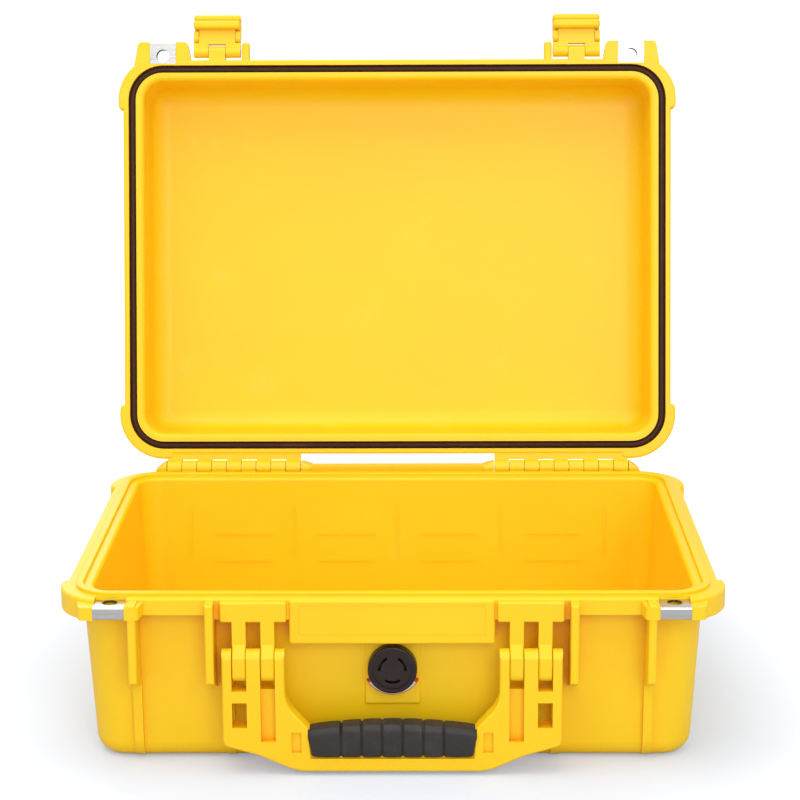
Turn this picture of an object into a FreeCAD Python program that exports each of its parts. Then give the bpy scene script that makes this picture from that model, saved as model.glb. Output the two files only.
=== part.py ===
import FreeCAD, Part
import math
import os

# Protective hard case with a hinged lid, two latches and a folding handle, in millimetres.
# X runs along the front, Y to the back and Z up; the origin is the centre of the underside.
# The lid stands open on its stop, as the case is used while it is packed.

# Case body
rim_height = 110.0
opening_half_x = 185.0
opening_half_y = 129.0
opening_radius = 14.0
wall = 7.0
floor_thickness = 4.5
draft_degrees = 3.1
bottom_fillet = 12.0
inner_bottom_fillet = 8.0
mouth_edge = 2.0
flare_steps = 5
overrun = 2.0
tolerance_share = 0.001

# Flange round the mouth of both shells
flange_width = 16.7
lid_flange_width = 15.0
flange_height = 14.0
flange_edge = 1.6
skirt = 4.5
channel_roof = 4.0
gusset = 3.0
gussets_per_side = 3
guard_proud = 3.6
guard_run = 7.0
guard_edge = 2.0
side_channel_half = 96.0

# Sealing ridge, groove and gasket
parting_gap = 0.4
gasket_offset = 8.5
gasket_radius = 2.5
groove_side_gap = 0.2
groove_seat_gap = 0.05
seal_gap = 0.3
ridge_width = 4.6
ridge_height = 2.0
ridge_edge = 0.7

# Lid
lid_depth = 46.0
lid_top = 4.0
lid_wall = 4.5
lid_top_fillet = 16.0
lid_inner_fillet = 13.0
lid_mouth_edge = 3.2
lid_open_degrees = 102.0
stack_rib_height = 1.7
stack_rib_width = 12.0
stack_rib_length = 190.0
stack_rib_places = (104.0, 136.0)
stack_gap = 0.8
panel_half_x = 72.0
panel_half_y = 46.0
panel_radius = 8.0
panel_depth = 0.8

# Hinge
hinge_back = 8.5
hinge_rise = 1.0
hinge_row_inset = 65.2
knuckle_pitch = 10.85
knuckles_per_row = 9
knuckle_gap = 0.4
knuckle_radius = 5.5
leaf_gap = 0.5
cheek_run = 8.0
ledge_rise = 3.5
ledge_gap = 2.0
ledge_back = 3.0
hinge_pin_radius = 2.0
pin_fit = 0.06

# Padlock tabs with folded steel eyes
tab_inset = 14.0
tab_reach = 11.6
tab_root_width = 41.7
tab_tip_width = 36.0
tab_height = 8.0
tab_drop = 2.0
tab_edge = 3.0
eye_width = 18.8
eye_depth = 16.0
eye_sheet = 1.5
eye_hole_radius = 4.75
eye_hole_back = 10.0
eye_side_gap = 0.1

# Latch bays on the base's front
latch_inset = 53.8
bay_inner_gap = 0.9
bay_outer_gap = 6.5
keeper_rise = 3.5
bay_rib_width = 5.2
bay_rib_proud = 11.0
bay_rib_foot = 45.0
bay_rib_slope = 14.0
rib_top_drop = 1.0
foot_rib_width = 5.6
foot_rib_proud = 4.0
rib_edge = 1.5

# Latches: jaw on the lid, lever on the jaw
latch_open_degrees = 95.0
latch_pivot_out = 4.5
latch_pivot_rise = 4.5
latch_pin_radius = 1.5
jaw_half_width = 13.2
jaw_barrel_radius = 4.2
jaw_plate = 5.0
jaw_stand_off = 1.5
lug_width = 12.0
lug_radius = 4.3
lug_side_gap = 0.3
lug_clearance = 1.0
hook_gap = 0.5
hook_height = 6.0
hook_half_width = 17.0
hook_reach = 5.5
hook_edge = 2.2
lever_pin_radius = 1.25
lever_pin_drop = 9.9
lever_cheek = 3.6
lever_cheek_gap = 0.3
lever_plate = 3.3
lever_plate_gap = 0.3
lever_top_drop = 1.0
lever_ear_radius = 3.2
lever_ear_foot = 4.4
shoulder_gap = 0.6
pull_tab_gap = 0.6
pull_tab_height = 4.6
pull_tab_proud = 1.0
pull_tab_edge = 1.9
lid_rib_width = 5.5
lid_rib_gap = 1.0
lid_rib_top = 10.5

# Carry handle
handle_pivot_height = 69.3
handle_pivot_out = 5.5
handle_thickness = 12.0
handle_side_gap = 4.6
arm_width = 38.2
arm_top_rise = 10.6
handle_floor_gap = 2.4
bar_flat_inset = 45.4
knee_inset = 22.4
knee_height = 12.6
elbow_height = 19.0
bar_top = 27.5
bar_top_inset = 54.9
arm_foot = 46.0
elbow_radius = 4.5
knee_radius = 24.0
bar_radius = 30.0
crotch_radius = 22.0
handle_edge = 1.6
tongue_insets = (10.4, 27.8)
tongue_width = 8.4
tongue_edge = 1.0
tongue_side_gap = 0.3
tongue_depth = 10.0
tongue_tip_drop = 9.7
tongue_shoulder_rise = 12.7
tongue_knee_rise = 5.7
mount_half_width = 20.3
mount_proud = 4.5
slot_foot_drop = 14.9
slot_window_drop = 22.3
slot_window_height = 16.0
groove_height = 32.4
groove_depth = 5.0
recess_inset = 47.9
recess_width = 6.0
recess_top = 28.0
recess_foot = 15.0
recess_depth = 2.0
handle_pin_radius = 2.0

# Rubber grip
grip_inset = 53.4
grip_flare = 2.0
grip_foot = 11.1
grip_top = 34.0
grip_thickness = 16.0
grip_core = 8.0
grip_edge = 5.0
grip_segments = 7
grip_pitch_share = 0.252
grip_groove_width = 1.6
grip_groove_depth = 1.2

# Apron over the valve and valve pad
apron_side_gap = 2.5
apron_foot = 81.0
apron_proud = 1.0
apron_edge = 1.5
apron_inset_margin = 6.0
apron_inset_depth = 0.5
pad_half_width = 17.0
pad_foot = 38.0
pad_proud = 1.5

# Pressure valve
valve_height = 63.2
valve_stem_radius = 8.0
valve_bore_radius = 5.0
valve_hole_gap = 0.2
valve_boss_radius = 14.0
valve_boss_proud = 1.6
valve_seal_inner = 8.6
valve_seal_outer = 12.4
valve_seal_thickness = 1.5
valve_flange_radius = 14.4
valve_flange_thickness = 2.0
valve_stem_overhang = 2.5
valve_nut_across = 22.0
valve_nut_thickness = 5.0
valve_cap_radius = 15.1
valve_cap_height = 7.0
valve_cap_skirt = 1.2
valve_cap_gap = 0.1
valve_cap_edge = 1.2
valve_dish_radius = 12.2
valve_dish_depth = 1.2
valve_slot_radius = 8.0
valve_slot_width = 1.6
valve_slot_degrees = 70.0
valve_slot_count = 3
membrane_radius = 6.5
membrane_thickness = 0.8
crescent_inner = 13.0
crescent_outer = 18.3
crescent_degrees = 124.0
band_inner = 16.0
band_outer = 17.8
band_thickness = 0.3
band_degrees = 108.0

# Fine raised lines on the inner front and rear walls
line_width = 1.4
line_proud = 0.7
line_top = 90.0
line_foot = 53.0
line_pitch_share = 0.404
line_count = 5
bar_heights = (69.0, 49.2)
bar_half_length = 20.5

Vector = FreeCAD.Vector
axis_x = Vector(1, 0, 0)
axis_y = Vector(0, 1, 0)
axis_z = Vector(0, 0, 1)
z_tolerance = wall * tolerance_share

# Places that follow from the sizes above
flange_half_x = opening_half_x + flange_width
flange_half_y = opening_half_y + flange_width
flange_foot = rim_height - flange_height
tab_centre = opening_half_x - tab_inset
hinge_row_centre = opening_half_x - hinge_row_inset
latch_centre = opening_half_x - latch_inset
lever_half = jaw_half_width + lever_cheek_gap + lever_cheek
bay_inner = latch_centre - lever_half - bay_inner_gap
bay_outer = latch_centre + lever_half + bay_outer_gap
handle_half_width = bay_inner - bay_rib_width - handle_side_gap
arm_inner = handle_half_width - arm_width
tongue_places = [handle_half_width - inset for inset in tongue_insets]
foot_rib_places = (bay_outer + bay_rib_width / 2, handle_half_width - foot_rib_width / 2)
grip_half_length = handle_half_width - grip_inset
apron_half_width = arm_inner - apron_side_gap
line_pitch = opening_half_x * line_pitch_share
lid_rim = rim_height + parting_gap
lid_ceiling = lid_rim + lid_depth
lid_height = lid_ceiling + lid_top
front = -flange_half_y
hinge_y = flange_half_y + hinge_back
hinge_z = rim_height + hinge_rise
latch_y = front - latch_pivot_out
latch_z = lid_rim + latch_pivot_rise
handle_y = front - handle_pivot_out
tongue_shoulder = handle_pivot_height + tongue_shoulder_rise
tongue_knee = handle_pivot_height + tongue_knee_rise
slot_foot = handle_pivot_height - slot_foot_drop
slot_window_top = handle_pivot_height - slot_window_drop
slot_window_foot = slot_window_top - slot_window_height
groove_foot = slot_foot - groove_height
handle_back = handle_y + handle_thickness / 2
handle_front = handle_y - handle_thickness / 2


def draft_run(height):
    """How far a drafted wall leans outwards over a height."""
    return height * math.tan(math.radians(draft_degrees))


def box(x0, x1, y0, y1, z0, z1):
    return Part.makeBox(x1 - x0, y1 - y0, z1 - z0, Vector(x0, y0, z0))


def rounded_box(x0, x1, y0, y1, z0, z1, radius):
    block = box(x0, x1, y0, y1, z0, z1)
    return block.makeFillet(radius, block.Edges)


def rod_x(x0, x1, y, z, radius):
    return Part.makeCylinder(radius, x1 - x0, Vector(x0, y, z), axis_x)


def rod_y(y0, y1, x, z, radius):
    return Part.makeCylinder(radius, y1 - y0, Vector(x, y0, z), axis_y)


def rod_z(z0, z1, x, y, radius):
    return Part.makeCylinder(radius, z1 - z0, Vector(x, y, z0), axis_z)


def prism(points, sweep):
    """A straight-sided solid from the corners of one face and the vector it is swept along."""
    return Part.Face(Part.makePolygon(points + [points[0]])).extrude(sweep)


def prism_x(outline, x0, x1):
    return prism([Vector(x0, y, z) for y, z in outline], Vector(x1 - x0, 0, 0))


def prism_y(outline, y0, y1):
    return prism([Vector(x, y0, z) for x, z in outline], Vector(0, y1 - y0, 0))


def prism_z(outline, z0, z1):
    return prism([Vector(x, y, z0) for x, y in outline], Vector(0, 0, z1 - z0))


def rounded_wire(half_x, half_y, radius, z):
    """A rectangle with round corners about the Z axis, as one closed wire."""
    arcs = []
    for sign_x, sign_y, start in ((1, 1, 0), (-1, 1, 90), (-1, -1, 180), (1, -1, 270)):
        centre = Vector(sign_x * (half_x - radius), sign_y * (half_y - radius), z)
        arcs.append(Part.makeCircle(radius, centre, axis_z, start, start + 90))
    edges = []
    for arc, following in zip(arcs, arcs[1:] + arcs[:1]):
        start, end = arc.valueAt(arc.LastParameter), following.valueAt(following.FirstParameter)
        edges.append(arc)
        edges.append(Part.makeLine(start, end))
    return Part.Wire(edges)


def rounded_slab(half_x, half_y, radius, z0, z1):
    return Part.Face(rounded_wire(half_x, half_y, radius, z0)).extrude(Vector(0, 0, z1 - z0))


def mouth_slab(offset, z0, z1):
    """A slab that follows the mouth of the case at an offset from its edge."""
    return rounded_slab(opening_half_x + offset, opening_half_y + offset, opening_radius + offset, z0, z1)


def mouth_ring(inner, outer, z0, z1):
    return mouth_slab(outer, z0, z1).cut(mouth_slab(inner, z0, z1))


def drafted_block(offset, foot, top, lean):
    """A block round the mouth's outline whose walls lean by the draft; lean is 1 upwards, -1 downwards."""
    radius = opening_radius + offset
    wires = []
    for z in (foot, top):
        away = z - rim_height if lean > 0 else lid_rim - z
        grow = offset + draft_run(away)
        wires.append(rounded_wire(opening_half_x + grow, opening_half_y + grow, radius, z))
    return Part.makeLoft(wires, True, True)


def edges_at(shape, z):
    """Edges that lie wholly in one level plane."""
    return [edge for edge in shape.Edges if edge.BoundBox.ZLength < z_tolerance
            and abs(edge.BoundBox.ZMin - z) < z_tolerance]


def mouth_flare(radius):
    """The space that rounds off the base's mouth where the inner wall meets the rim."""
    rings = []
    for step in range(flare_steps + 1):
        angle = math.radians(90 * step / flare_steps)
        rings.append((radius * (1 - math.cos(angle)), radius * (1 - math.sin(angle))))
    rings.append((radius, -overrun))
    wires = []
    for out, depth in rings:
        grow = out - draft_run(depth)
        wires.append(rounded_wire(opening_half_x + grow, opening_half_y + grow, opening_radius + out,
                                  rim_height - depth))
    return Part.makeLoft(wires, True, True)


def mirrored(shape):
    return shape.mirror(Vector(0, 0, 0), axis_x)


def both_sides(pieces):
    """The pieces with their mirror images on the other side of the case."""
    return pieces + [mirrored(piece) for piece in pieces]


def joined(body, pieces):
    """A body with pieces moulded on, one after another."""
    for piece in pieces:
        body = body.fuse(piece)
    return body


# Places on the base's walls
wall_root = draft_run(rim_height) - opening_half_y
valve_lean = draft_run(rim_height - valve_height)
pad_front = valve_lean - opening_half_y - wall - pad_proud
boss_face = valve_lean - opening_half_y + valve_boss_proud
rib_top = rim_height - rib_top_drop
tab_tip = front - tab_reach
tab_foot = rim_height - tab_drop - tab_height
eye_axis_y = tab_tip + eye_hole_back


def rim_flange(foot, width):
    """The flange that frames the mouth, with a rounded guard at each corner."""
    top = foot + flange_height
    flange = mouth_slab(width, foot, top)
    flange = flange.makeFillet(flange_edge, edges_at(flange, foot) + edges_at(flange, top))
    x, y = opening_half_x - opening_radius, opening_half_y - opening_radius
    radius = opening_radius + width + guard_proud
    guard = rod_z(foot, top, x, y, radius)
    guard = guard.common(box(x - guard_run, x + radius, y - guard_run, y + radius, foot, top))
    ends = [edge for edge in guard.Edges if edge.BoundBox.ZLength > flange_height / 2
            and max(edge.CenterOfMass.x - x, edge.CenterOfMass.y - y) > 0]
    guard = guard.makeFillet(guard_edge, ends)
    guard = guard.makeFillet(flange_edge, edges_at(guard, foot) + edges_at(guard, top))
    right = [guard, guard.mirror(Vector(0, 0, 0), axis_y)]
    return flange.fuse(both_sides(right))


def padlock_tab():
    """The tab for a padlock at the base's right front corner."""
    root = front + skirt
    outline = [(tab_centre - tab_root_width / 2, root), (tab_centre + tab_root_width / 2, root),
               (tab_centre + tab_tip_width / 2, tab_tip), (tab_centre - tab_tip_width / 2, tab_tip)]
    tab = prism_z(outline, tab_foot, tab_foot + tab_height)
    corners = [edge for edge in tab.Edges
               if edge.BoundBox.ZLength > tab_height / 2 and edge.BoundBox.YMax < front]
    return tab.makeFillet(tab_edge, corners)


def padlock_cuts():
    """The notch through the base's right tab that the steel eye is pushed into."""
    half = eye_width / 2 + eye_side_gap
    return [box(tab_centre - half, tab_centre + half, tab_tip - overrun, tab_tip + eye_depth,
                flange_foot - overrun, rim_height + overrun)]


def padlock_eye():
    """The folded steel sheet that lines the base's right padlock tab."""
    left, right = tab_centre - eye_width / 2, tab_centre + eye_width / 2
    top = tab_foot + tab_height
    sheet = box(left, right, tab_tip, tab_tip + eye_depth, tab_foot, top)
    folds = [edge for edge in sheet.Edges if edge.BoundBox.YMax < tab_tip + z_tolerance
             and edge.BoundBox.XLength > eye_width / 2]
    sheet = sheet.makeFillet(eye_sheet, folds)
    hollow = box(left, right, tab_tip + eye_sheet, tab_tip + eye_depth, tab_foot + eye_sheet, top - eye_sheet)
    hole = rod_z(tab_foot, top, tab_centre, eye_axis_y, eye_hole_radius)
    return sheet.cut([hollow, hole])


def bay_rib(x0):
    """One rib beside a latch, from the rim down to a sloped end on the wall."""
    y = front - bay_rib_proud
    outline = [(wall_root, rib_top), (y, rib_top), (y, bay_rib_foot + bay_rib_slope),
               (wall_root, bay_rib_foot)]
    rib = prism_x(outline, x0, x0 + bay_rib_width)
    outer = [edge for edge in rib.Edges if edge.BoundBox.YMax < y + z_tolerance]
    return rib.makeFillet(rib_edge, outer)


def foot_ribs():
    """Low ribs down the front and rear walls that follow the bottom edge and end as feet."""
    top, half = bay_rib_foot + bay_rib_slope, foot_rib_width / 2
    skin = drafted_block(wall + foot_rib_proud, 0, top, 1)
    skin = skin.makeFillet(bottom_fillet + foot_rib_proud, edges_at(skin, 0))
    return [skin.common(box(x - half, x + half, front, -front, 0, top)) for x in foot_rib_places]


def handle_tongue(x):
    """One tongue of the handle's mount, hanging from the flange with a round end below the pin."""
    half = tongue_width / 2
    back, face = handle_y + tongue_depth / 2, handle_y - tongue_depth / 2
    tip = handle_pivot_height - tongue_tip_drop + tongue_depth / 2
    root = flange_foot + flange_height / 2
    outline = [(back, root), (front - mount_proud, root), (front - mount_proud, tongue_shoulder),
               (face, tongue_knee), (face, tip), (back, tip)]
    tongue = prism_x(outline, x - half, x + half)
    tongue = tongue.fuse(rod_x(x - half, x + half, handle_y, tip, tongue_depth / 2)).removeSplitter()
    outer = [edge for edge in tongue.Edges if edge.BoundBox.XLength < z_tolerance
             and edge.CenterOfMass.y < handle_y and edge.CenterOfMass.z < root]
    tongue = tongue.makeFillet(tongue_edge, outer)
    hole = rod_x(x - half, x + half, handle_y, handle_pivot_height, handle_pin_radius + pin_fit)
    return tongue.cut(hole)


def knuckle_places(kind):
    """Left ends of the base's or the lid's knuckles in the right-hand hinge row."""
    start = hinge_row_centre - knuckles_per_row * knuckle_pitch / 2 + knuckle_gap / 2
    first = 0 if kind == "lid" else 1
    return [start + index * knuckle_pitch for index in range(first, knuckles_per_row, 2)]


def hinge_knuckles(kind):
    """The right-hand row of knuckles of one shell, with the arms that carry them."""
    low, high = (hinge_z - knuckle_radius, rim_height)
    knuckles = []
    if kind == "lid":
        low, high = (hinge_z, hinge_z + knuckle_radius)
        half = knuckles_per_row * knuckle_pitch / 2
        knuckles.append(box(hinge_row_centre - half, hinge_row_centre + half, flange_half_y - skirt,
                            hinge_y - knuckle_radius - leaf_gap, low, high))
    for x in knuckle_places(kind):
        end = x + knuckle_pitch - knuckle_gap
        barrel = rod_x(x, end, hinge_y, hinge_z, knuckle_radius)
        arm = box(x, end, flange_half_y - skirt, hinge_y, low, high)
        hole = rod_x(x, end, hinge_y, hinge_z, hinge_pin_radius + pin_fit)
        knuckles.append(barrel.fuse(arm).cut(hole))
    return knuckles


def hinge_cheek(x0, x1, z0, z1):
    """A solid end of a hinge row on the base that covers the pin, with a top sloped from end to end."""
    foot = hinge_z - knuckle_radius
    cheek = rod_x(x0, x1, hinge_y, hinge_z, knuckle_radius)
    cheek = cheek.fuse(box(x0, x1, flange_half_y - skirt, hinge_y, foot, rim_height))
    return cheek.common(prism_y([(x0, foot), (x1, foot), (x1, z1), (x0, z0)], flange_half_y - skirt,
                                hinge_y + knuckle_radius))


def hinge_ledge(half):
    """The raised shelf behind the base's rear flange, between the two hinge rows."""
    foot, back = hinge_z - knuckle_radius, hinge_y + ledge_back
    shelf = box(-half, half, flange_half_y - skirt, back, foot, rim_height)
    return shelf.fuse(box(-half, half, flange_half_y + ledge_gap, back, foot, rim_height + ledge_rise))


def flange_channels():
    """Hollows under the base's flange, between the wall and the turned-down skirt."""
    foot, roof = flange_foot - overrun, rim_height - channel_roof
    pockets = []
    pitch = 2 * side_channel_half / (gussets_per_side + 1)
    for index in range(gussets_per_side + 1):
        start = index * pitch - side_channel_half
        pockets.append(box(opening_half_x + wall, flange_half_x - skirt, start + gusset / 2,
                           start + pitch - gusset / 2, foot, roof))
    pockets.append(box(bay_inner, bay_outer, front + skirt, -opening_half_y - wall, foot, roof))
    pockets.append(box(bay_inner, bay_outer, front - overrun, front + skirt, foot, flange_foot + keeper_rise))
    rear_half = hinge_row_centre - knuckles_per_row * knuckle_pitch / 2 - wall
    rear = box(-rear_half, rear_half, opening_half_y + wall, flange_half_y - skirt, foot, roof)
    return both_sides(pockets) + [rear]


def stack_band(x, width, length, z0, z1):
    """A band with round ends across the top or the underside, where stacked cases locate."""
    slab = rounded_slab(width / 2, length / 2, width / 2 * (1 - tolerance_share), z0, z1)
    return slab.translated(Vector(x, 0, 0))


def wall_lines():
    """Fine raised lines on the inner rear wall, mirrored to the inner front wall."""
    half = line_width / 2
    marks = []
    for index in range(line_count):
        x = (index - (line_count - 1) / 2) * line_pitch
        marks.append((x - half, x + half, line_foot, line_top))
    for index in range(line_count - 1):
        x = (index - (line_count - 2) / 2) * line_pitch
        for z in bar_heights:
            marks.append((x - bar_half_length, x + bar_half_length, z - half, z + half))
    lines = []
    for x0, x1, z0, z1 in marks:
        low = opening_half_y - draft_run(rim_height - z0)
        high = opening_half_y - draft_run(rim_height - z1)
        outline = [(low - line_proud, z0), (high - line_proud, z1),
                   (high + wall / 2, z1), (low + wall / 2, z0)]
        lines.append(prism_x(outline, x0, x1))
    return lines + [line.mirror(Vector(0, 0, 0), axis_y) for line in lines]


def base_shell():
    outer = drafted_block(wall, 0, rim_height, 1)
    outer = outer.makeFillet(bottom_fillet, edges_at(outer, 0))
    cavity = drafted_block(0, floor_thickness, rim_height + ridge_height + overrun, 1)
    cavity = cavity.makeFillet(inner_bottom_fillet, edges_at(cavity, floor_thickness))
    ridge = mouth_ring(gasket_offset - ridge_width / 2, gasket_offset + ridge_width / 2,
                       rim_height - overrun, rim_height + ridge_height)
    ridge = ridge.makeFillet(ridge_edge, edges_at(ridge, rim_height + ridge_height))

    right = [padlock_tab(), bay_rib(bay_outer), bay_rib(bay_inner - bay_rib_width)]
    right += foot_ribs() + hinge_knuckles("base")
    row_half, row_top = knuckles_per_row * knuckle_pitch / 2 + knuckle_gap, hinge_z + knuckle_radius
    row_start, row_end = hinge_row_centre - row_half, hinge_row_centre + row_half
    right.append(hinge_cheek(row_start - cheek_run, row_start, rim_height + ledge_rise, row_top))
    right.append(hinge_cheek(row_end, row_end + cheek_run, row_top, rim_height))
    mount_centre = sum(tongue_places) / len(tongue_places)
    right.append(rounded_box(mount_centre - mount_half_width, mount_centre + mount_half_width,
                             front - mount_proud, wall_root, flange_foot, rib_top, rib_edge))
    right += [handle_tongue(x) for x in tongue_places]

    apron = rounded_box(-apron_half_width, apron_half_width, front - apron_proud, wall_root,
                        apron_foot, rib_top, apron_edge)
    pad = rounded_box(-pad_half_width, pad_half_width, pad_front, wall_root,
                      pad_foot, apron_foot + overrun, rib_edge)
    shell = joined(outer, [rim_flange(flange_foot, flange_width), ridge, apron, pad] + both_sides(right))
    shell = shell.fuse(hinge_ledge(row_start - cheek_run))

    inset_half = apron_half_width - apron_inset_margin
    apron_face = front - apron_proud
    inset = box(-inset_half, inset_half, apron_face - overrun, apron_face + apron_inset_depth,
                apron_foot + apron_inset_margin, rib_top - apron_inset_margin / 2)
    bands = [stack_band(x, stack_rib_width + 2 * stack_gap, stack_rib_length + 2 * stack_gap,
                        -overrun, stack_rib_height) for x in stack_rib_places]
    cuts = [cavity, mouth_flare(mouth_edge), inset] + flange_channels()
    shell = shell.cut(cuts + both_sides(padlock_cuts() + bands))

    boss = rod_y(boss_face - valve_boss_proud - wall / 2, boss_face, 0, valve_height, valve_boss_radius)
    shell = shell.fuse([boss] + wall_lines())
    hole = rod_y(pad_front - overrun, boss_face + overrun, 0, valve_height,
                 valve_stem_radius + valve_hole_gap)
    return shell.cut(hole).removeSplitter()


def flipped(shape):
    """The lid's counterpart of a base piece, across the middle of the parting gap."""
    return shape.mirror(Vector(0, 0, (rim_height + lid_rim) / 2), axis_z)


def opened(shape):
    """A lid piece turned from the closed lid to the open lid about the hinge pins."""
    return shape.rotated(Vector(0, hinge_y, hinge_z), axis_x, -lid_open_degrees)


def swung(shape):
    """A latch piece turned from its closed place to its open place on the closed lid."""
    return shape.rotated(Vector(0, latch_y, latch_z), axis_x, -latch_open_degrees)


# Places on the closed lid and its latches
gasket_z = rim_height + ridge_height + seal_gap + gasket_radius
groove_roof = gasket_z + gasket_radius + groove_seat_gap
groove_half = gasket_radius + groove_side_gap
jaw_inner = front - jaw_stand_off
jaw_outer = jaw_inner - jaw_plate
hook_top = flange_foot + keeper_rise - hook_gap
hook_foot = hook_top - hook_height
lever_pin_y = jaw_inner - jaw_plate / 2
lever_pin_z = latch_z - lever_pin_drop


def latch_lug():
    """The lug on the lid's front edge that carries the right latch."""
    left, right = latch_centre - lug_width / 2, latch_centre + lug_width / 2
    arm = box(left, right, latch_y, front + skirt, latch_z - lug_radius, latch_z + lug_radius)
    lug = arm.fuse(rod_x(left, right, latch_y, latch_z, lug_radius))
    return lug.cut(rod_x(left, right, latch_y, latch_z, latch_pin_radius + pin_fit))


def lid_rib():
    """The rib that guards the right latch on the side towards the middle."""
    right = latch_centre - lever_half - lid_rib_gap
    return rounded_box(right - lid_rib_width, right, front - bay_rib_proud, front + skirt,
                       lid_rim + rib_top_drop, lid_rim + lid_rib_top, rib_edge)


def lid_shell():
    outer = drafted_block(lid_wall, lid_rim, lid_height, -1)
    outer = outer.makeFillet(lid_top_fillet, edges_at(outer, lid_height))
    cavity = drafted_block(0, lid_rim - overrun, lid_ceiling, -1)
    cavity = cavity.makeFillet(lid_inner_fillet, edges_at(cavity, lid_ceiling))
    groove = mouth_ring(gasket_offset - groove_half, gasket_offset + groove_half,
                        lid_rim - overrun, groove_roof)
    right = [flipped(padlock_tab()), latch_lug(), lid_rib()] + hinge_knuckles("lid")
    for x in stack_rib_places:
        right.append(stack_band(x, stack_rib_width, stack_rib_length, lid_height - overrun,
                                lid_height + stack_rib_height))
    shell = joined(outer, [rim_flange(lid_rim, lid_flange_width)] + both_sides(right))
    panel = rounded_slab(panel_half_x, panel_half_y, panel_radius,
                         lid_height - panel_depth, lid_height + overrun)
    cuts = [cavity, flipped(mouth_flare(lid_mouth_edge)), groove, panel]
    cuts += both_sides([flipped(cut) for cut in padlock_cuts()])
    return shell.cut(cuts).removeSplitter()


def lid_gasket():
    """The round rubber cord that lies in the lid's groove."""
    half_x, half_y = opening_half_x + gasket_offset, opening_half_y + gasket_offset
    radius = opening_radius + gasket_offset
    path = rounded_wire(half_x, half_y, radius, gasket_z)
    start = Vector(half_x, half_y - radius, gasket_z)
    section = Part.Wire(Part.makeCircle(gasket_radius, start, axis_y))
    return path.makePipeShell([section], True, False)


def hinge_pin():
    half = knuckles_per_row * knuckle_pitch / 2
    return rod_x(hinge_row_centre - half, hinge_row_centre + half, hinge_y, hinge_z, hinge_pin_radius)


def latch_jaw():
    """The right latch's yoke, closed, with the hook that grips under the base's flange."""
    left, right = latch_centre - lever_half, latch_centre + lever_half
    barrel = rod_x(left, right, latch_y, latch_z, jaw_barrel_radius)
    shoulder = box(left, right, jaw_outer, jaw_inner,
                   lever_pin_z + lever_ear_radius + shoulder_gap, latch_z)
    plate = box(latch_centre - jaw_half_width, latch_centre + jaw_half_width, jaw_outer, jaw_inner,
                hook_foot + hook_edge, latch_z)
    hook = rounded_box(latch_centre - hook_half_width, latch_centre + hook_half_width, jaw_outer,
                       jaw_inner + hook_reach, hook_foot, hook_top, hook_edge)
    slot_half = lug_width / 2 + lug_side_gap
    slot = box(latch_centre - slot_half, latch_centre + slot_half,
               jaw_outer - jaw_barrel_radius, jaw_inner + jaw_barrel_radius,
               latch_z - lug_radius - lug_clearance, latch_z + jaw_barrel_radius)
    pivot_hole = rod_x(left, right, latch_y, latch_z, latch_pin_radius + pin_fit)
    lever_hole = rod_x(left, right, lever_pin_y, lever_pin_z, lever_pin_radius + pin_fit)
    yoke = barrel.fuse([shoulder, plate, hook])
    return yoke.cut([slot, pivot_hole, lever_hole]).removeSplitter()


def latch_lever():
    """The right latch's lever, closed: two cheeks on the lever pin, a cover plate and a pull tab."""
    left, right = latch_centre - lever_half, latch_centre + lever_half
    plate_in = jaw_outer - lever_plate_gap
    plate_out = plate_in - lever_plate
    tab_top = hook_foot - pull_tab_gap
    plate = box(left, right, plate_out, plate_in, tab_top - pull_tab_height / 2, lever_pin_z - lever_top_drop)
    tab = rounded_box(left, right, plate_out - pull_tab_proud, jaw_inner,
                      tab_top - pull_tab_height, tab_top, pull_tab_edge)
    cheeks = []
    for x in (left, right - lever_cheek):
        ear = rod_x(x, x + lever_cheek, lever_pin_y, lever_pin_z, lever_ear_radius)
        web = box(x, x + lever_cheek, plate_out, lever_pin_y + lever_ear_radius,
                  lever_pin_z - lever_ear_foot, lever_pin_z)
        cheeks.append(ear.fuse(web))
    hole = rod_x(left, right, lever_pin_y, lever_pin_z, lever_pin_radius + pin_fit)
    return plate.fuse([tab] + cheeks).cut(hole).removeSplitter()


def latch_pin(y, z, radius):
    """A pin across the whole width of the right latch."""
    return rod_x(latch_centre - lever_half, latch_centre + lever_half, y, z, radius)


def grip_block(y0, y1):
    """The grip's outline seen from the front, a little longer at its top, swept through a depth."""
    low, high = grip_half_length, grip_half_length + grip_flare
    return prism_y([(-low, grip_foot), (low, grip_foot), (high, grip_top), (-high, grip_top)], y0, y1)


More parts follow.
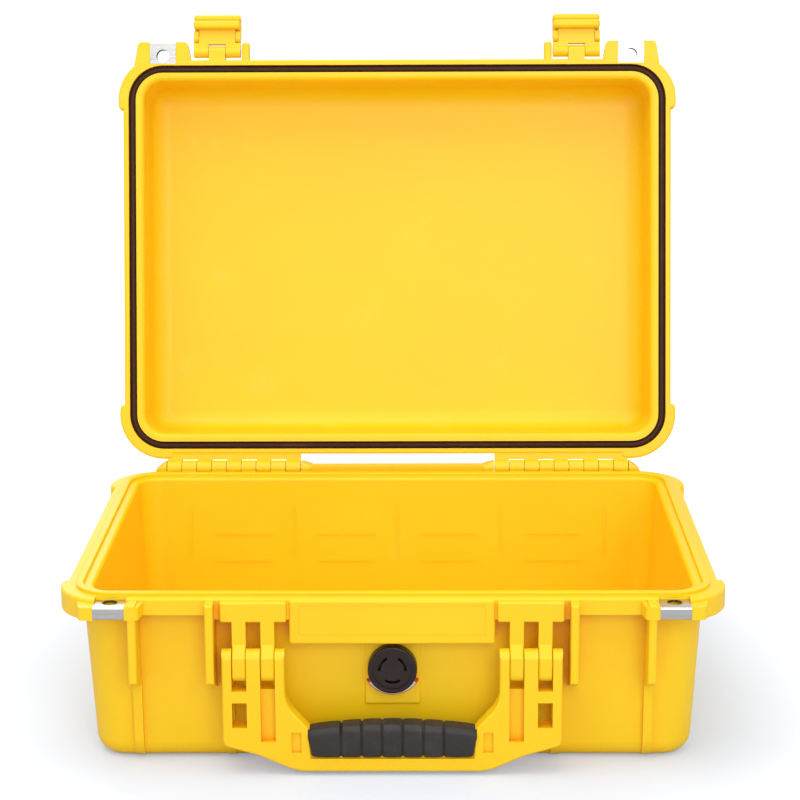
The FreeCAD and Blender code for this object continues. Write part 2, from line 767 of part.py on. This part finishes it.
def handle_frame():
    """The folding handle, hanging: two slotted arms, sloped elbows and the bar inside the grip."""
    top = handle_pivot_height + arm_top_rise
    flat = (handle_half_width - bar_flat_inset, handle_floor_gap)
    knee = (handle_half_width - knee_inset, knee_height)
    elbow = (handle_half_width, elbow_height)
    crotch = (arm_inner, arm_foot)
    right = [flat, knee, elbow, (handle_half_width, top), (arm_inner, top), crotch,
             (handle_half_width - bar_top_inset, bar_top)]
    outline = right + [(-x, z) for x, z in reversed(right)]
    frame = prism_y(outline, handle_front, handle_back)
    corners = {flat: bar_radius, knee: knee_radius, elbow: elbow_radius, crotch: crotch_radius}
    for (x, z), radius in corners.items():
        across = [edge for edge in frame.Edges if edge.BoundBox.YLength > handle_thickness / 2]
        picked = [edge for edge in across if abs(abs(edge.CenterOfMass.x) - x) < z_tolerance
                  and abs(edge.CenterOfMass.z - z) < z_tolerance]
        frame = frame.makeFillet(radius, picked)
    faces = [edge for edge in frame.Edges if edge.BoundBox.YLength < z_tolerance]
    frame = frame.makeFillet(handle_edge, faces)

    half = handle_thickness / 2
    crown = box(-handle_half_width, handle_half_width, handle_front, handle_back, 0, top - half)
    crown = crown.fuse(rod_x(-handle_half_width, handle_half_width, handle_y, top - half, half))
    frame = frame.common(crown)

    slot_half = tongue_width / 2 + tongue_side_gap
    outer, inner = tongue_places
    cuts = []
    for x in tongue_places:
        cuts.append(box(x - slot_half, x + slot_half, handle_front, handle_back, slot_foot, top))
    cuts.append(box(outer - slot_half, outer + slot_half, handle_front, handle_back,
                    slot_window_foot, slot_window_top))
    cuts.append(box(inner - slot_half, inner + slot_half, handle_front, handle_front + groove_depth,
                    groove_foot, slot_foot))
    recess = handle_half_width - recess_inset
    cuts.append(box(recess, recess + recess_width, handle_front, handle_front + recess_depth,
                    recess_foot, recess_top))
    cuts = both_sides(cuts)
    cuts.append(rod_x(-handle_half_width, handle_half_width, handle_y, handle_pivot_height,
                      handle_pin_radius + pin_fit))
    cuts.append(grip_block(handle_front, handle_y - grip_core / 2))
    cuts.append(grip_block(handle_y + grip_core / 2, handle_back))
    return frame.cut(cuts).removeSplitter()


def handle_grip():
    """The rubber grip over the bar, cut by cross grooves into finger segments."""
    face, back = handle_y - grip_thickness / 2, handle_y + grip_thickness / 2
    grip = grip_block(face, back)
    grip = grip.makeFillet(grip_edge, [edge for edge in edges_at(grip, grip_top)
                                       if edge.BoundBox.XLength > grip_half_length])
    reach = grip_half_length + grip_flare
    core = box(-reach, reach, handle_y - grip_core / 2, handle_y + grip_core / 2, grip_foot, bar_top)
    kept = box(-reach, reach, face + grip_groove_depth, back - grip_groove_depth, grip_foot,
               grip_top - grip_groove_depth)
    grooves = []
    for index in range(grip_segments - 1):
        x = (index - (grip_segments - 2) / 2) * grip_half_length * grip_pitch_share
        across = box(x - grip_groove_width / 2, x + grip_groove_width / 2, face, back, grip_foot, grip_top)
        grooves.append(across.cut(kept))
    return grip.cut([core] + grooves).cut(handle_frame())


def handle_pin():
    return rod_x(arm_inner, handle_half_width, handle_y, handle_pivot_height, handle_pin_radius)


def valve_disc(radius, inner, outer, degrees=360, middle=270):
    """A disc, or a sector about a middle angle, on the valve's axis; distances run outwards from the pad."""
    disc = Part.makeCylinder(radius, outer - inner, Vector(0, 0, inner), axis_z, degrees)
    disc = disc.rotated(Vector(0, 0, 0), axis_z, middle - degrees / 2)
    disc = disc.rotated(Vector(0, 0, 0), axis_x, 90)
    return disc.translated(Vector(0, pad_front, valve_height))


def valve_ring(small, large, inner, outer, degrees=360, middle=270):
    return valve_disc(large, inner, outer, degrees, middle).cut(valve_disc(small, inner, outer))


# Distances outwards from the valve pad
flange_face = valve_seal_thickness + valve_flange_thickness
cap_foot = flange_face - valve_cap_skirt
cap_face = cap_foot + valve_cap_height
stem_end = pad_front - boss_face - valve_nut_thickness - valve_stem_overhang


def valve_body():
    body = valve_disc(valve_flange_radius, valve_seal_thickness, flange_face)
    body = body.fuse(valve_disc(valve_stem_radius, stem_end, flange_face))
    seat = valve_disc(membrane_radius, flange_face - membrane_thickness, flange_face)
    return body.cut([valve_disc(valve_bore_radius, stem_end, flange_face), seat]).removeSplitter()


def valve_cap():
    cap = valve_disc(valve_cap_radius, cap_foot, cap_face)
    rim = [edge for edge in cap.Edges if abs(edge.BoundBox.YMax - (pad_front - cap_face)) < z_tolerance]
    cap = cap.makeFillet(valve_cap_edge, rim)
    half = valve_slot_width / 2
    cuts = [valve_disc(valve_flange_radius + valve_cap_gap, cap_foot, flange_face),
            valve_disc(valve_slot_radius + valve_slot_width, flange_face, flange_face + valve_slot_width),
            valve_disc(valve_dish_radius, cap_face - valve_dish_depth, cap_face)]
    for index in range(valve_slot_count):
        cuts.append(valve_ring(valve_slot_radius - half, valve_slot_radius + half, flange_face, cap_face,
                               valve_slot_degrees, 30 + index * 360 / valve_slot_count))
    return cap.cut(cuts)


def valve_nut():
    corner = valve_nut_across / 2 / math.cos(math.radians(30))
    outline = [(corner * math.cos(math.radians(angle)), valve_height + corner * math.sin(math.radians(angle)))
               for angle in range(0, 360, 60)]
    end = boss_face + valve_nut_thickness
    hole = rod_y(boss_face, end, 0, valve_height, valve_stem_radius + pin_fit)
    return prism_y(outline, boss_face, end).cut(hole)


nodes = {"base_shell": base_shell(), "lid_shell": opened(lid_shell()), "lid_gasket": opened(lid_gasket())}
right_pieces = {
    "hinge_pin": hinge_pin(),
    "base_padlock_plate": padlock_eye(),
    "lid_padlock_plate": opened(flipped(padlock_eye())),
    "latch_pivot_pin": opened(latch_pin(latch_y, latch_z, latch_pin_radius)),
    "latch_jaw": opened(swung(latch_jaw())),
    "latch_lever_pin": opened(swung(latch_pin(lever_pin_y, lever_pin_z, lever_pin_radius))),
    "latch_lever": opened(swung(latch_lever())),
    "handle_pin": handle_pin(),
}
for name, shape in right_pieces.items():
    nodes[name + "_right"] = shape
    nodes[name + "_left"] = mirrored(shape)
nodes["handle_frame"] = handle_frame()
nodes["handle_grip"] = handle_grip()
nodes["valve_body"] = valve_body()
nodes["valve_cap"] = valve_cap()
nodes["valve_nut"] = valve_nut()
nodes["valve_seal"] = valve_ring(valve_seal_inner, valve_seal_outer, 0, valve_seal_thickness)
nodes["valve_membrane"] = valve_disc(membrane_radius, flange_face - membrane_thickness, flange_face)
nodes["valve_crescent"] = valve_ring(crescent_inner, crescent_outer, 0, valve_seal_thickness,
                                     crescent_degrees)
nodes["valve_band"] = valve_ring(band_inner, band_outer, valve_seal_thickness,
                                 valve_seal_thickness + band_thickness, band_degrees)

os.makedirs("parts", exist_ok=True)
for name, shape in nodes.items():
    shape.exportStep("parts/" + name + ".step")
    print(name, len(shape.Solids), shape.isValid(), round(shape.Volume))
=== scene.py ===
import math

import bmesh
import bpy
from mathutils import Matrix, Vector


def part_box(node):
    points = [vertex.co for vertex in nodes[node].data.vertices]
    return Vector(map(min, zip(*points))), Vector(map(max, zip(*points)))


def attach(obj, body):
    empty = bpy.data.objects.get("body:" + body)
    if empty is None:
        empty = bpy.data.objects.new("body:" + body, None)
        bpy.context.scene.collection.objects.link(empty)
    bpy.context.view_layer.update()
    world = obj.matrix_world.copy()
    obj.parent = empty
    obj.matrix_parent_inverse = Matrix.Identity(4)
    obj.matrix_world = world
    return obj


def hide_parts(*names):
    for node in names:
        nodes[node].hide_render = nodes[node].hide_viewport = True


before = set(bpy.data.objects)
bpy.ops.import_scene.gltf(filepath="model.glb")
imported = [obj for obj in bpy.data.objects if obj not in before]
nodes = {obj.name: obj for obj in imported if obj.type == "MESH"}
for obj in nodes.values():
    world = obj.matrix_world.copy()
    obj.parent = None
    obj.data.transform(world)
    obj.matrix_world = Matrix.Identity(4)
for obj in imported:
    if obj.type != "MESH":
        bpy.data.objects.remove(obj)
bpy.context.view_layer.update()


# Base shell: the deep half of the case, one injection moulding in yellow polypropylene.
# The tool is spark eroded, so the plastic comes out with a fine satin grain and soft flow marks.

class Tone:
    """A value inside a finish. Sums on it add Math nodes, and node() adds a node of any other kind."""

    def __init__(self, tree, socket):
        self.tree = tree
        self.socket = socket

    def node(self, kind, settings=None, inputs=None, output=0):
        made = self.tree.nodes.new("ShaderNode" + kind)
        for name, value in (settings or {}).items():
            setattr(made, name, value)
        for key, value in (inputs or {}).items():
            if isinstance(value, Tone):
                self.tree.links.new(value.socket, made.inputs[key])
            else:
                made.inputs[key].default_value = value
        return Tone(self.tree, made.outputs[output])

    def sum(self, operation, first, second):
        return self.node("Math", {"operation": operation}, {0: first, 1: second})

    def __add__(self, other):
        return self.sum("ADD", self, other)

    def __radd__(self, other):
        return self.sum("ADD", other, self)

    def __sub__(self, other):
        return self.sum("SUBTRACT", self, other)

    def __rsub__(self, other):
        return self.sum("SUBTRACT", other, self)

    def __mul__(self, other):
        return self.sum("MULTIPLY", self, other)

    def __rmul__(self, other):
        return self.sum("MULTIPLY", other, self)

    def noise(self, scale, detail=2.0, roughness=0.5):
        return self.node("TexNoise", None, {"Vector": self, "Scale": scale, "Detail": detail,
                                            "Roughness": roughness})

    def step(self, low, high):
        """0 below low, 1 above high and a smooth rise between."""
        return self.node("MapRange", {"interpolation_type": "SMOOTHSTEP"},
                         {"Value": self, "From Min": low, "From Max": high})

    def between(self, first, second):
        """A colour mixed by this value from first to second."""
        return self.node("Mix", {"data_type": "RGBA"}, {0: self, 6: first, 7: second}, 2)

    def bump(self, strength, distance):
        return self.node("Bump", None, {"Height": self, "Strength": strength, "Distance": distance})


def new_finish(name, **constants):
    """A material with its shader's constant values set, its object coordinates and its shader."""
    material = bpy.data.materials.new(name)
    material.use_nodes = True
    tree = material.node_tree
    shader = tree.nodes["Principled BSDF"]
    for key, value in constants.items():
        shader.inputs[key.replace("_", " ")].default_value = value
    here = Tone(tree, tree.nodes.new("ShaderNodeTexCoord").outputs["Object"])
    return material, here, shader


def feed(shader, **values):
    """Link values that vary over the surface to the shader."""
    for key, value in values.items():
        value.tree.links.new(value.socket, shader.inputs[key.replace("_", " ")])


def dress(node, material):
    """Give a CAD node one material in all its slots."""
    mesh = nodes[node].data
    if not mesh.materials:
        mesh.materials.append(material)
    for index in range(len(mesh.materials)):
        mesh.materials[index] = material


YELLOW_DEEP = (0.93, 0.58, 0.002, 1)
YELLOW_BRIGHT = (0.95, 0.61, 0.004, 1)
YELLOW_RUBBED = (0.96, 0.68, 0.08, 1)
# Painted shade: the deeper orange put into narrow recesses, and how far and with how many rays the occlusion
# is sought.
PAINTED_SHADE_ORANGE = (0.88, 0.32, 0.001, 1)
PAINTED_SHADE_REACH = 0.03
PAINTED_SHADE_RAYS = 6


def moulded_yellow(name, haze):
    """Satin yellow plastic with painted shade, a deeper orange, in its own narrow recesses, with flow marks,
    a fine grain and a little haze.
    """
    material, here, shader = new_finish(name, Specular_IOR_Level=0.42)
    flow = here.noise(7.0, 4.0, 0.6).step(0.3, 0.7)
    rubbed = here.noise(26.0, 6.0, 0.7).step(0.56, 0.78) * haze
    grain = here.noise(900.0, 2.0, 0.6)
    # Painted shade: ambient occlusion from the piece's own shape turns its narrow recesses a deeper orange.
    clear_of_painted_shade = here.node("AmbientOcclusion", {"samples": PAINTED_SHADE_RAYS, "only_local": True},
                         {"Distance": PAINTED_SHADE_REACH}, "AO").step(0.12, 0.6)
    body = clear_of_painted_shade.between(PAINTED_SHADE_ORANGE, flow.between(YELLOW_DEEP, YELLOW_BRIGHT))
    feed(shader, Base_Color=rubbed.between(body, YELLOW_RUBBED),
         Roughness=0.37 + flow * 0.05 + rubbed * 0.12 + grain * 0.06,
         Normal=(grain + here.noise(120.0, 3.0) * 0.6).bump(0.16, 0.0003))
    return material


dress("base_shell", moulded_yellow("moulded_yellow", haze=0.25))


# Lid shell: the shallow half, moulded in the same yellow, hung on the two rows of knuckles.
# Its bare inner face carries faint rub marks from the things that were packed against it.

dress("lid_shell", moulded_yellow("moulded_yellow_lid", haze=0.5))


# Lid gasket: a solid round cord of dark neoprene, pressed into the groove that rings the lid's mouth.
# It is one length with its ends glued together, dull on its skin and a little dusty.

GASKET_HALF_X = 0.1935
GASKET_HALF_Y = 0.1375
GASKET_CORNER = 0.0225
GASKET_RADIUS = 0.0025
GASKET_HEIGHT = 0.1148
GASKET_CORNER_STEPS = 10
GASKET_ROUND_STEPS = 4
NEOPRENE_CLEAN = (0.04, 0.013, 0.005, 1)
NEOPRENE_DUSTY = (0.062, 0.024, 0.01, 1)
HINGE = (0.0, 0.1542, 0.1110)
LID_OPEN = math.radians(102)
MERGE_REACH = 0.00001
SMOOTH_ANGLE = math.radians(35)


def begin():
    """Deselect everything before a new piece is added."""
    if bpy.context.object and bpy.context.object.mode != "OBJECT":
        bpy.ops.object.mode_set(mode="OBJECT")
    bpy.ops.object.select_all(action="DESELECT")


def settle(piece, name, material):
    """Name a finished piece, put its place into its mesh and give it its material."""
    bpy.ops.object.mode_set(mode="OBJECT")
    bpy.ops.object.transform_apply(location=True, rotation=True, scale=True)
    piece.name = name
    piece.data.name = name
    piece.data.materials.clear()
    piece.data.materials.append(material)
    bpy.ops.object.shade_smooth_by_angle(angle=SMOOTH_ANGLE)


begin()
bpy.ops.mesh.primitive_plane_add(size=2, location=(0, 0, GASKET_HEIGHT))
gasket = bpy.context.object
gasket.scale = (GASKET_HALF_X, GASKET_HALF_Y, 1)
bpy.ops.object.transform_apply(location=False, rotation=False, scale=True)
bpy.ops.object.mode_set(mode="EDIT")
bpy.ops.mesh.select_all(action="SELECT")
bpy.ops.mesh.bevel(offset=GASKET_CORNER, offset_type="OFFSET", segments=GASKET_CORNER_STEPS,
                   affect="VERTICES")
bpy.ops.mesh.select_all(action="SELECT")
bpy.ops.mesh.delete(type="ONLY_FACE")
bpy.ops.object.mode_set(mode="OBJECT")
bpy.ops.object.convert(target="CURVE")
gasket = bpy.context.object
gasket.data.bevel_depth = GASKET_RADIUS
gasket.data.bevel_resolution = GASKET_ROUND_STEPS
bpy.ops.object.convert(target="MESH")
gasket = bpy.context.object
bpy.ops.object.mode_set(mode="EDIT")
bpy.ops.mesh.select_all(action="SELECT")
bpy.ops.mesh.remove_doubles(threshold=MERGE_REACH)
bpy.ops.mesh.normals_make_consistent(inside=False)
bpy.ops.transform.rotate(value=LID_OPEN, orient_axis="X", center_override=HINGE)

neoprene, here, shader = new_finish("gasket_neoprene", Specular_IOR_Level=0.3)
skin = here.noise(420.0, 3.0)
dust = here.noise(34.0, 5.0, 0.65).step(0.5, 0.75)
feed(shader, Base_Color=dust.between(NEOPRENE_CLEAN, NEOPRENE_DUSTY),
     Roughness=0.5 + skin * 0.2, Normal=skin.bump(0.15, 0.0002))
settle(gasket, "gasket_cord", neoprene)
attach(gasket, "lid")
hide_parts("lid_gasket")
dress("lid_gasket", neoprene)


# Hinge pins, latch pins and handle pins: drawn stainless rod, cut to length and pressed through
# the knuckles, cheeks and tongues, so only the cropped ends can be seen.

ROD_DARK = (0.5, 0.5, 0.49, 1)
ROD_BRIGHT = (0.66, 0.66, 0.65, 1)
DRAWN_LINES = (30.0, 1500.0, 1500.0)

rod_steel, here, shader = new_finish("drawn_rod", Metallic=1.0)
drawn = here.node("Mapping", None, {"Vector": here, "Scale": DRAWN_LINES}).noise(1.0, 3.0)
feed(shader, Base_Color=drawn.between(ROD_DARK, ROD_BRIGHT),
     Roughness=0.24 + drawn * 0.18, Normal=drawn.bump(0.1, 0.0001))
for side in ("left", "right"):
    for pin in ("hinge_pin", "latch_pivot_pin", "latch_lever_pin", "handle_pin"):
        dress(f"{pin}_{side}", rod_steel)


# Padlock eyes: strips of polished stainless sheet, folded round the corner tabs and punched for a shackle.
# Rolling leaves faint lines along the strip, and shackles have scratched the faces a little.

SHEET_DARK = (0.42, 0.42, 0.42, 1)
SHEET_BRIGHT = (0.66, 0.66, 0.65, 1)
ROLLED_LINES = (25.0, 700.0, 700.0)

eye_steel, here, shader = new_finish("folded_stainless", Metallic=1.0)
rolled = here.node("Mapping", None, {"Vector": here, "Scale": ROLLED_LINES}).noise(1.0, 4.0)
scratch = here.noise(210.0, 6.0, 0.75).step(0.58, 0.7)
feed(shader, Base_Color=rolled.between(SHEET_DARK, SHEET_BRIGHT),
     Roughness=0.16 + rolled * 0.14 + scratch * 0.16,
     Normal=(rolled + scratch * 0.3).bump(0.12, 0.0002))
for side in ("left", "right"):
    dress(f"base_padlock_plate_{side}", eye_steel)
    dress(f"lid_padlock_plate_{side}", eye_steel)


# Latches: a yoke on the lid with a hook under the flange, and a lever that pries it open.
# Both are moulded in the same yellow as the shells, a little smoother where fingers pull them.

latch_yellow = moulded_yellow("moulded_yellow_latch", haze=0.2)
for side in ("left", "right"):
    dress(f"latch_jaw_{side}", latch_yellow)
    dress(f"latch_lever_{side}", latch_yellow)


# Handle frame: the folding carry handle, moulded in the same yellow with two slotted arms and a bar.
# The arms straddle the base's tongues, and a pin through each side lets the handle swing.

dress("handle_frame", moulded_yellow("moulded_yellow_handle", haze=0.1))


# Handle grip: black thermoplastic rubber moulded over the handle's bar in seven finger segments.
# It stands proud of the bar, arches towards the middle and ends in slanted shoulders.

GRIP_MIDDLE = (0.0, -0.1512, 0.0225)
GRIP_HALF = (0.0512, 0.0080, 0.0112)
GRIP_ROUND = 0.0048
GRIP_ROUND_STEPS = 5
GRIP_PITCH = 0.01255
GRIP_SEGMENTS = 7
GRIP_ARCH = 0.0036
GRIP_LEAN = 0.0016
GRIP_SMOOTHING = 2
GROOVE_HALF = 0.0007
GROOVE_BOTTOM = (1, 0.84, 0.9)
GROOVE_LIP = (1, 0.97, 0.985)
CROWN_SWELL = (1, 1.015, 1.005)
END_TAPER = (1, 0.9, 0.93)
AT_CUT = GROOVE_HALF / 4
NEAR_CUT = GROOVE_HALF * 1.5
AT_STATION = 0.00002
RUBBER_NEW = (0.023, 0.020, 0.019, 1)
RUBBER_WORN = (0.048, 0.041, 0.040, 1)


def choose(obj, test):
    """Select, in edit mode, the vertices whose place passes a test, with the edges and faces they span."""
    shape = bmesh.from_edit_mesh(obj.data)
    for vertex in shape.verts:
        vertex.select = test(vertex.co)
    shape.select_mode = {"VERT"}
    shape.select_flush_mode()
    bmesh.update_edit_mesh(obj.data)


def cut_across(x):
    """Slice the chosen piece with a plane across its length."""
    bpy.ops.mesh.select_all(action="SELECT")
    bpy.ops.mesh.bisect(plane_co=(x, 0, 0), plane_no=(1, 0, 0))


def swell(share, x):
    """Scale the chosen ring of points about the grip's middle line."""
    bpy.ops.transform.resize(value=share, center_override=(x, GRIP_MIDDLE[1], GRIP_MIDDLE[2]))


begin()
bpy.ops.mesh.primitive_cube_add(size=2, location=GRIP_MIDDLE)
grip = bpy.context.object
grip.scale = GRIP_HALF
bpy.ops.object.transform_apply(location=True, rotation=False, scale=True)
bpy.ops.object.mode_set(mode="EDIT")
bpy.ops.mesh.select_all(action="DESELECT")
shape = bmesh.from_edit_mesh(grip.data)
for edge in shape.edges:
    run = edge.verts[0].co - edge.verts[1].co
    edge.select = abs(run.x) > GRIP_HALF[0]
bmesh.update_edit_mesh(grip.data)
bpy.ops.mesh.bevel(offset=GRIP_ROUND, offset_type="OFFSET", segments=GRIP_ROUND_STEPS, affect="EDGES")
grooves = [(index - (GRIP_SEGMENTS - 2) / 2) * GRIP_PITCH for index in range(GRIP_SEGMENTS - 1)]
crowns = [(index - (GRIP_SEGMENTS - 1) / 2) * GRIP_PITCH for index in range(GRIP_SEGMENTS)]
for groove in grooves:
    for step in range(-2, 3):
        cut_across(groove + step * GROOVE_HALF)
for crown in crowns:
    cut_across(crown)
for x in (-GRIP_HALF[0] + GROOVE_HALF, GRIP_HALF[0] - GROOVE_HALF):
    cut_across(x)
for groove in grooves:
    choose(grip, lambda co: abs(co.x - groove) < AT_CUT)
    swell(GROOVE_BOTTOM, groove)
    choose(grip, lambda co: AT_CUT < abs(co.x - groove) < NEAR_CUT)
    swell(GROOVE_LIP, groove)
for crown in crowns:
    choose(grip, lambda co: abs(co.x - crown) < AT_CUT)
    swell(CROWN_SWELL, crown)
for end in (-GRIP_HALF[0], GRIP_HALF[0]):
    choose(grip, lambda co: abs(co.x - end) < AT_CUT)
    swell(END_TAPER, end)
    choose(grip, lambda co: abs(co.x - end) < NEAR_CUT and co.z > GRIP_MIDDLE[2])
    bpy.ops.transform.translate(value=(math.copysign(GRIP_LEAN / 2, end), 0, 0))
    choose(grip, lambda co: abs(co.x - end) < NEAR_CUT and co.z < GRIP_MIDDLE[2])
    bpy.ops.transform.translate(value=(-math.copysign(GRIP_LEAN, end), 0, 0))
shape = bmesh.from_edit_mesh(grip.data)
stations = sorted({round(vertex.co.x, 5) for vertex in shape.verts})
for station in stations:
    share = (station / GRIP_HALF[0]) ** 2
    choose(grip, lambda co: abs(co.x - station) < AT_STATION and co.z > GRIP_MIDDLE[2])
    bpy.ops.transform.translate(value=(0, 0, -GRIP_ARCH * share))
bpy.ops.object.mode_set(mode="OBJECT")
rounding = grip.modifiers.new("rounding", "SUBSURF")
rounding.levels = GRIP_SMOOTHING
rounding.render_levels = GRIP_SMOOTHING
bpy.ops.object.modifier_apply(modifier="rounding")

grip_rubber, here, shader = new_finish("grip_rubber", Specular_IOR_Level=0.4)
pores = here.noise(650.0, 3.0, 0.6)
worn = here.noise(48.0, 5.0, 0.65).step(0.45, 0.8)
feed(shader, Base_Color=worn.between(RUBBER_NEW, RUBBER_WORN),
     Roughness=0.46 + pores * 0.16 - worn * 0.08, Normal=pores.bump(0.25, 0.0003))
settle(grip, "rubber_grip", grip_rubber)
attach(grip, "handle")
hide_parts("handle_grip")
dress("handle_grip", grip_rubber)


# Pressure valve: a black vented knob screwed to a flanged stem, with its nut inside the case.
# A red crescent with a plain white band shows below the knob, and a rubber washer with softened
# edges seals the stem's flange against the wall.

KNOB_NEW = (0.014, 0.007, 0.006, 1)
KNOB_HANDLED = (0.030, 0.018, 0.016, 1)
SEAL_INNER = 0.0086
SEAL_OUTER = 0.0124
SEAL_EDGE = 0.0004
SEAL_SIDES = 48
SEAL_EDGE_STEPS = 3
RED_DARK = (0.5, 0.015, 0.012, 1)
RED_BRIGHT = (0.62, 0.03, 0.02, 1)
WHITE_DULL = (0.74, 0.73, 0.71, 1)
WHITE_CLEAN = (0.84, 0.83, 0.81, 1)

valve_black, here, shader = new_finish("valve_black", Specular_IOR_Level=0.36)
satin = here.noise(700.0, 2.0)
handled = here.noise(90.0, 5.0, 0.7).step(0.5, 0.8)
feed(shader, Base_Color=handled.between(KNOB_NEW, KNOB_HANDLED),
     Roughness=0.3 + satin * 0.16 + handled * 0.1, Normal=satin.bump(0.14, 0.0002))
for piece in ("valve_body", "valve_cap", "valve_nut"):
    dress(piece, valve_black)

seal_low, seal_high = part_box("valve_seal")
begin()
bpy.ops.mesh.primitive_cylinder_add(vertices=SEAL_SIDES, radius=SEAL_OUTER, depth=seal_high[1] - seal_low[1],
                                    location=[(low + high) / 2 for low, high in zip(seal_low, seal_high)],
                                    rotation=(math.radians(90), 0, 0))
seal = bpy.context.object
bpy.ops.object.mode_set(mode="EDIT")
bpy.ops.mesh.select_all(action="DESELECT")
bpy.ops.mesh.select_mode(type="FACE")
shape = bmesh.from_edit_mesh(seal.data)
for face in shape.faces:
    face.select = len(face.verts) == SEAL_SIDES
bmesh.update_edit_mesh(seal.data)
bpy.ops.mesh.inset(thickness=SEAL_OUTER - SEAL_INNER, use_individual=True)
bpy.ops.mesh.bridge_edge_loops()
bpy.ops.mesh.select_all(action="SELECT")
bpy.ops.mesh.normals_make_consistent(inside=False)
bpy.ops.object.mode_set(mode="OBJECT")
softened = seal.modifiers.new("softened", "BEVEL")
softened.width = SEAL_EDGE
softened.segments = SEAL_EDGE_STEPS
bpy.ops.object.modifier_apply(modifier="softened")
settle(seal, "seal_washer", neoprene)
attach(seal, "base")
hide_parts("valve_seal")
dress("valve_seal", neoprene)

crescent_red, here, shader = new_finish("crescent_red")
tint = here.noise(160.0, 3.0)
feed(shader, Base_Color=tint.between(RED_DARK, RED_BRIGHT),
     Roughness=0.3 + tint * 0.12, Normal=here.noise(800.0).bump(0.08, 0.0002))
dress("valve_crescent", crescent_red)

plain_white, here, shader = new_finish("plain_white")
chalk = here.noise(300.0, 3.0)
feed(shader, Base_Color=chalk.between(WHITE_DULL, WHITE_CLEAN),
     Roughness=0.42 + chalk * 0.15, Normal=chalk.bump(0.06, 0.0002))
for piece in ("valve_band", "valve_membrane"):
    dress(piece, plain_white)


# Studio: a plain white sweep under soft light from above, in front and behind, as for a catalogue.
# The floor glows to the camera away from the case, so that it runs into the white background. Close to the
# case the glow is dim and bluish, which paints a grey shade round the case beside its real shadow and
# cancels the yellow light bounced onto the floor.

FLOOR_SIZE = 30
FLOOR_GREY = (0.6, 0.6, 0.61, 1)
# Dim bluish glow near the case: painted shade round the case that also cancels the yellow bounce.
FLOOR_GLOW_NEAR_PAINTED_SHADE = (0.19, 0.25, 0.33, 1)
FLOOR_GLOW_FAR = (0.7, 0.7, 0.7, 1)
GLOW_START, GLOW_FULL = 0.2, 0.54
BLACK = (0, 0, 0, 1)
WHITE = (1, 1, 1, 1)
SKY_LIGHT = 0.8
CASE_MIDDLE = (0, 0.1, 0.2)
CAMERA_LENS = 102.9
CAMERA_SENSOR = 36
CAMERA_PLACE = (0.0206, -1.4645, 0.549)
CAMERA_TURN = (76.5525, 0.2542, 0.5977)

begin()
bpy.ops.mesh.primitive_plane_add(size=FLOOR_SIZE, location=(0, 0, 0))
floor = bpy.context.object
floor.name = "studio_floor"
floor_white, here, shader = new_finish("floor_white", Base_Color=FLOOR_GREY, Roughness=0.9,
                                       Specular_IOR_Level=0.0, Emission_Strength=1.0)
seen = here.node("LightPath", output="Is Camera Ray")
away = here.node("VectorMath", {"operation": "LENGTH"}, {0: here}, "Value").step(GLOW_START, GLOW_FULL)
glow = away.between(FLOOR_GLOW_NEAR_PAINTED_SHADE, FLOOR_GLOW_FAR)
feed(shader, Emission_Color=seen.between(BLACK, glow))
floor.data.materials.append(floor_white)

world = bpy.data.worlds.new("studio_white")
bpy.context.scene.world = world
world.use_nodes = True
tree = world.node_tree
sky = tree.nodes["Background"]
path = tree.nodes.new("ShaderNodeLightPath")
camera_ray = Tone(tree, path.outputs["Is Camera Ray"])
white_ray = camera_ray.sum("MAXIMUM", camera_ray, Tone(tree, path.outputs["Is Glossy Ray"]))
white_ray = white_ray.sum("MAXIMUM", white_ray, Tone(tree, path.outputs["Is Transmission Ray"]))
strength = white_ray * (1 - SKY_LIGHT) + SKY_LIGHT
tree.links.new(strength.socket, sky.inputs["Strength"])
sky.inputs["Color"].default_value = WHITE


def soft_lamp(name, place, target, size, watts):
    """A large square lamp that faces a point."""
    lamp = bpy.data.lights.new(name, "AREA")
    lamp.energy = watts
    lamp.size = size
    holder = bpy.data.objects.new(name, lamp)
    bpy.context.scene.collection.objects.link(holder)
    holder.location = place
    away = [place[axis] - target[axis] for axis in range(3)]
    flat = math.hypot(away[0], away[1])
    holder.rotation_euler = (math.atan2(flat, away[2]), 0, math.atan2(away[0], -away[1]))


soft_lamp("overhead_box", place=(-0.35, -0.5, 2.3), target=(0, 0.05, 0.1), size=1.8, watts=22)
soft_lamp("front_box", place=(0.5, -2.6, 1.3), target=CASE_MIDDLE, size=1.6, watts=26)
soft_lamp("rear_box", place=(-0.6, 2.6, 1.5), target=CASE_MIDDLE, size=1.6, watts=14)

view = bpy.data.cameras.new("photo_view")
view.lens = CAMERA_LENS
view.sensor_width = CAMERA_SENSOR
holder = bpy.data.objects.new("photo_view", view)
bpy.context.scene.collection.objects.link(holder)
holder.location = CAMERA_PLACE
holder.rotation_euler = [math.radians(turn) for turn in CAMERA_TURN]
bpy.context.scene.camera = holder
bpy.context.scene.view_settings.view_transform = "Standard"
